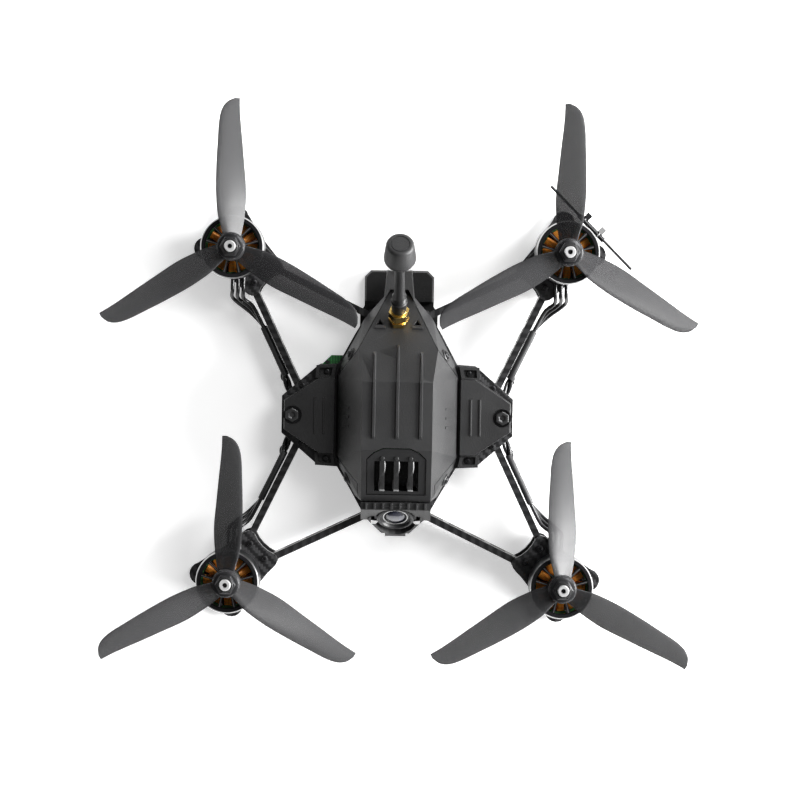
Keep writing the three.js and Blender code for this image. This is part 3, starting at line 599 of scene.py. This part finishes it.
def add_plate_screws(name, place, inward):
    piece = Piece("plate_screws_" + name, BLACK_STEEL)
    spot = place @ turn_z(inward)
    flip = Matrix.Rotation(math.pi, 4, "X")
    for side in (-4.6, 4.6):
        socket_screw(piece, spot @ at(17, side, PLATE_TOP - 0.05))
        socket_screw(piece, spot @ at(17, side, FOOT_UNDERSIDE + 0.05) @ flip)
    for quarter in range(4):
        angle = (quarter + 0.5) * math.pi / 2
        below = spot @ at(8 * math.cos(angle), 8 * math.sin(angle), FOOT_UNDERSIDE + 0.05) @ flip
        socket_screw(piece, below, radius=2.3, height=1.5)
    piece.finish("frame")


# ---------------------------------------------------------------- pod details
def on_pod(side, y, z):
    """Place where a level line from outside meets the pod's flank, with +Z along the outward normal."""
    start = Vector((side * 60, y, z)) * MM
    meets = [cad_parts[shell].ray_cast(start, Vector((-side, 0, 0)))
             for shell in ("canopy", "lower_shell")]
    _, spot, normal, _ = min((m for m in meets if m[0]), key=lambda m: (m[1] - start).length)
    return Matrix.Translation(spot) @ normal.to_track_quat("Z", "Y").to_matrix().to_4x4()


def add_pod_details():
    piece = Piece("pod_fittings", BLACK_STEEL, PLASTIC)
    for side in (-1, 1):
        for y, z in ((27.5, 31), (-27.5, 27)):
            spot = on_pod(side, y, z)
            cup = [(0, -0.3), (2.9, -0.3), (2.9, 0.35), (2.5, 0.7), (2.2, 0.7), (2.1, 0.3), (0, 0.3)]
            piece.turned(cup, PLASTIC, spot, 32)
            socket_screw(piece, spot @ at(0, 0, 0.25), radius=1.8, height=1.3)
        for row in range(3):
            spot = on_pod(side, -4 + row * 4, 33)
            piece.block(-0.55, 0.55, -3.4, 3.4, -0.3, 0.35, PLASTIC, spot)
    for number in range(8):
        x = (number - 3.5) * 3.7
        piece.block(x - 0.45, x + 0.45, -39.9, -37.1, 39.4, 41.0, PLASTIC)
    tail = at(*ANTENNA_BASE) @ Matrix.Rotation(-TAIL_SLOPE, 4, "X")
    for side in (-1, 1):
        ledge = [(-2.5, -4.2), (2.5, -4.2), (2.5, -3.0), (2.1, -2.6), (-2.1, -2.6), (-2.5, -3.0)]
        piece.prism(ledge, -0.3, 0.8, PLASTIC, tail @ at(side * 8.2, 0), taper=0.97)
        rim = [(2.5 * math.sin(a), 2.5 * math.cos(a) - 1.4, 0.05)
               for a in (0, 2 * math.pi / 3, 4 * math.pi / 3)]
        piece.tube(rim, 0.28, PLASTIC, tail @ at(side * 8.2, 0), 8, True)
    piece.finish("frame", bevel=0.12)


def nose_height(y):
    """The nose's slope, which the intake follows."""
    return POD_TOP - (NOSE_BACK - y) * (POD_TOP - NOSE_LOW) / (NOSE_BACK - NOSE_FRONT)


def add_louvres():
    """Three bowed fins that swell and dip along the intake, lighter than their frame."""
    piece = Piece("louvres", LIGHT_GRILLE, GRILLE)
    for x in (-6.2, 0, 6.2):
        points = []
        steps = 24
        for i in range(steps + 1):
            t = i / steps
            y = -18.0 - 13.9 * t
            lift = 0.9 * math.sin(math.pi * t) + 0.5 * math.sin(2.5 * math.pi * t)
            bow = 0.45 * math.sin(2 * math.pi * t)
            half = 1.15 + 0.2 * math.cos(2 * math.pi * t)
            z = nose_height(y) - 0.6 + lift
            points += [(x + bow - half, y, z - 1.6), (x + bow - half * 0.8, y, z),
                       (x + bow + half * 0.8, y, z), (x + bow + half, y, z - 1.6)]
        faces = [(i * 4 + k, i * 4 + (k + 1) % 4, i * 4 + 4 + (k + 1) % 4, i * 4 + 4 + k)
                 for i in range(steps) for k in range(4)]
        faces += [(0, 1, 2, 3), tuple(range(steps * 4, steps * 4 + 4))]
        piece.form(points, faces, LIGHT_GRILLE)
        stud_y = -17.2
        stud = [(0, -0.4), (1.0, -0.4), (1.0, 0.2), (0, 0.3)]
        piece.turned(stud, GRILLE, at(x, stud_y, nose_height(stud_y)), 20)
    piece.finish("frame", bevel=0.15)


def add_wing_fittings():
    for name, side in (("left", 1), ("right", -1)):
        piece = Piece("wing_fittings_" + name, BLACK_STEEL)
        centre = at(side * 46.6, 0)
        piece.turned([(3.1, 21.6), (3.95, 21.6), (3.95, 22.0), (3.1, 22.0)], BLACK_STEEL, centre, 40, True)
        for end in (-1, 1):
            socket_screw(piece, at(side * 31.6, end * 19.4, 19.0), radius=1.3, height=1.0)
            socket_screw(piece, at(side * 42.5, end * 12.9, PLATE_TOP - 0.05), radius=1.3, height=1.0)
        piece.finish("frame")


# ---------------------------------------------------------------- camera
def camera_axis():
    return at(*CAMERA_PIVOT) @ Matrix.Rotation(math.pi / 2 - CAMERA_UPTILT, 4, "X")


def add_lens():
    axis = camera_axis()
    piece = Piece("lens_barrel", LENS_RING, LENS_GLASS, ALUMINIUM_AND_HIGHLIGHT)
    barrel = [(3, 3.6), (7.9, 3.6), (8.2, 4.0), (8.2, 7.6), (7.9, 8.0), (7.2, 8.2), (6.8, 8.0),
              (6.3, 7.1), (5.8, 7.1), (5.6, 6.7), (4.9, 6.7), (4.7, 6.2), (3, 6.0)]
    piece.turned(barrel, LENS_RING, axis, 72, True)
    for notch in range(30):
        piece.block(8.0, 8.4, -0.38, 0.38, 4.3, 7.2, LENS_RING, axis @ turn_z(notch * math.pi / 15))
    piece.turned([(5.1, 6.65), (5.5, 6.65), (5.5, 6.95), (5.1, 6.95)], ALUMINIUM_AND_HIGHLIGHT, axis, 64, True)
    dome = [(0, 3.6), (4.6, 3.6), (4.6, 6.2)]
    dome += [(4.6 * math.cos(a), 6.2 + 1.5 * math.sin(a)) for a in (0.25, 0.5, 0.75, 1.0, 1.25)]
    piece.turned(dome + [(0, 7.7)], LENS_GLASS, axis, 56)
    piece.finish("camera", ["camera_lens"])
    screws = Piece("camera_housing_screws", BLACK_STEEL)
    for side in (-1, 1):
        spot = at(side * 12.4, CAMERA_PIVOT.y, CAMERA_PIVOT.z) @ Matrix.Rotation(side * math.pi / 2, 4, "Y")
        socket_screw(screws, spot @ at(0, 0, -0.2), radius=1.15, height=0.9)
    screws.finish("camera")


# ---------------------------------------------------------------- antenna
def add_antenna():
    axis = at(*ANTENNA_BASE) @ Matrix.Rotation(-TAIL_SLOPE, 4, "X")
    socket = Piece("brass_socket", BRASS)
    threads = [(0, -5.8), (2.9, -5.8), (2.9, 2.8)]
    for thread in range(12):
        threads += [(3.0, 2.9 + thread * 0.5), (2.75, 3.15 + thread * 0.5)]
    socket.turned(threads + [(2.6, 9.1), (0, 9.1)], BRASS, axis, 40)
    socket.prism(hexagon(8), 0.25, 2.9, BRASS, axis)
    socket.turned([(2.6, 2.8), (3.8, 2.8), (3.8, 3.4), (2.6, 3.4)], BRASS, axis, 40, True)
    socket.prism(hexagon(7.9), 4.2, 8.2, BRASS, axis @ turn_z(0.2))
    socket.turned([(2.6, 8.1), (3.5, 8.1), (3.4, 9.1), (2.6, 9.1)], BRASS, axis, 40, True)
    socket.finish("frame", ["antenna_connector"], bevel=0.22)

    mast = Piece("mast", RUBBER)
    profile = [(0, 9.3), (3.2, 9.3), (3.3, 9.6), (3.3, 13.8), (3.6, 14.3), (3.6, 15.4), (3.1, 15.8)]
    for rib in range(4):
        z = 16.0 + rib * 0.9
        profile += [(2.8, z), (3.1, z + 0.25), (3.1, z + 0.6)]
    profile += [(2.5, 20.3), (2.2, 30.6), (2.1, 45.4), (0, 45.4)]
    mast.turned(profile, RUBBER, axis, 48)
    mast.finish("frame", ["antenna_mast"])

    cap = Piece("cap", PLASTIC)
    profile = [(0, 45.6), (2.3, 45.6), (2.3, 44.5), (5.1, 44.5), (6.3, 45.3), (6.8, 46.4), (6.9, 47.3),
               (6.0, 55.6), (5.7, 56.3), (5.1, 56.75), (4.2, 56.75), (4.1, 56.5), (3.7, 56.5),
               (3.6, 56.75), (0, 56.8)]
    cap.turned(profile, PLASTIC, axis, 64)
    cap.finish("frame", ["antenna_cap"], sharp=40)


def add_receiver_parts():
    middle = at(MOTOR_OFFSET + 12.2, MOTOR_OFFSET + 12.2, 5.6) @ turn_z(-math.pi / 4)
    rod = Piece("receiver_rod", RUBBER, TIE, INSULATION)
    rod.tube([(x, 0, 0) for x in (-26, -20, 0, 20, 26)], 0.62, RUBBER, middle, 12)
    rod.tube([(x, 0, 0) for x in (-8, -6, 6, 8)], 1.15, INSULATION, middle, 16)
    for x, material in ((-4.5, INSULATION), (4.5, TIE)):
        loop = [(x, 1.45 * math.cos(a * math.pi / 8), 1.45 * math.sin(a * math.pi / 8)) for a in range(16)]
        rod.tube(loop, 0.32, material, middle, 6, True)
        rod.block(x - 1.3, x + 1.3, 1.1, 3.9, -1.0, 1.3, material, middle)
    rod.finish("frame", ["receiver_antenna"])
    chips = Piece("receiver_chips", CHIP, WHITE)
    for x, y, half_x, half_y, material in [(-33.4, 21.4, 0.9, 0.7, WHITE), (-31.4, 23.6, 0.9, 0.6, CHIP)]:
        chips.block(x - half_x, x + half_x, y - half_y, y + half_y, 14.5, 15.3, material)
    chips.finish("frame")


def add_motors():
    for name, sx, sy, turns in CORNERS:
        ground = at(sx * MOTOR_OFFSET, sy * MOTOR_OFFSET)
        motor = at(sx * MOTOR_OFFSET, sy * MOTOR_OFFSET, DECK)
        add_stator(name, motor)
        add_bell(name, motor)
        add_propeller(name, motor, turns)
        add_nut(name, motor)
        add_leads(name, sx, sy)
        add_plate_screws(name, ground, math.atan2(-sy, -sx))


# ---------------------------------------------------------------- studio
def add_light(name, where, target, size, power):
    lamp = bpy.data.lights.new(name, "AREA")
    lamp.shape = "DISK"
    lamp.size = size
    lamp.energy = power
    holder = bpy.data.objects.new(name, lamp)
    holder.location = where
    holder.rotation_euler = (Vector(target) - Vector(where)).to_track_quat("-Z", "Y").to_euler()
    bpy.context.scene.collection.objects.link(holder)


def add_studio():
    bpy.ops.mesh.primitive_plane_add(size=8, location=(0, 0, -0.0003))
    floor = bpy.context.object
    floor.name = "floor"
    paper = Graph("floor", (0.9, 0.9, 0.9), 0.9)
    paper.shader.inputs["Specular IOR Level"].default_value = 0.1
    paper.shader.inputs["Emission Color"].default_value = (1, 1, 1, 1)
    paper.shader.inputs["Emission Strength"].default_value = 0.45
    floor.data.materials.append(paper.material)
    add_light("key", (1.25, 0.05, 0.42), (0, 0, 0.03), 0.8, 72)
    add_light("overhead", (0.75, 0.75, 1.3), (0, 0, 0), 0.6, 12)
    world = bpy.data.worlds.new("studio")
    world.use_nodes = True
    nodes = world.node_tree.nodes
    links = world.node_tree.links
    # A room with a bright wall on the +X side, a dim one opposite and a dark ceiling.
    toward = nodes.new("ShaderNodeVectorMath")
    toward.operation = "DOT_PRODUCT"
    toward.inputs[1].default_value = (0.7, 0.1, -0.62)
    links.new(nodes.new("ShaderNodeTexCoord").outputs["Generated"], toward.inputs[0])
    glow = nodes.new("ShaderNodeMapRange")
    glow.inputs["From Min"].default_value = -0.6
    glow.inputs["From Max"].default_value = 0.7
    glow.inputs["To Min"].default_value = 0.1
    glow.inputs["To Max"].default_value = 1.5
    links.new(toward.outputs["Value"], glow.inputs["Value"])
    background = nodes["Background"]
    background.inputs["Color"].default_value = (1, 1, 1, 1)
    links.new(glow.outputs["Result"], background.inputs["Strength"])
    bpy.context.scene.world = world
    bpy.context.scene.view_settings.view_transform = "Standard"


def add_camera():
    data = bpy.data.cameras.new("camera")
    data.lens = 104.2
    data.sensor_width = 36
    data.clip_start = 0.01
    viewer = bpy.data.objects.new("camera_view", data)
    eye = Vector((0, 0.045, 1.049))
    target = Vector((0.0011, 0.0083, 0.049))
    back = (eye - target).normalized()
    right = Vector((0, 1, 0)).cross(back).normalized()
    facing = Matrix((right, back.cross(right), back)).transposed().to_4x4()
    viewer.matrix_world = Matrix.Translation(eye) @ facing @ turn_z(math.radians(1.0))
    bpy.context.scene.collection.objects.link(viewer)
    bpy.context.scene.camera = viewer


add_camera()
add_studio()
finish_kept_solids()
add_motors()
add_pod_details()
add_louvres()
add_wing_fittings()
add_lens()
add_antenna()
add_receiver_parts()
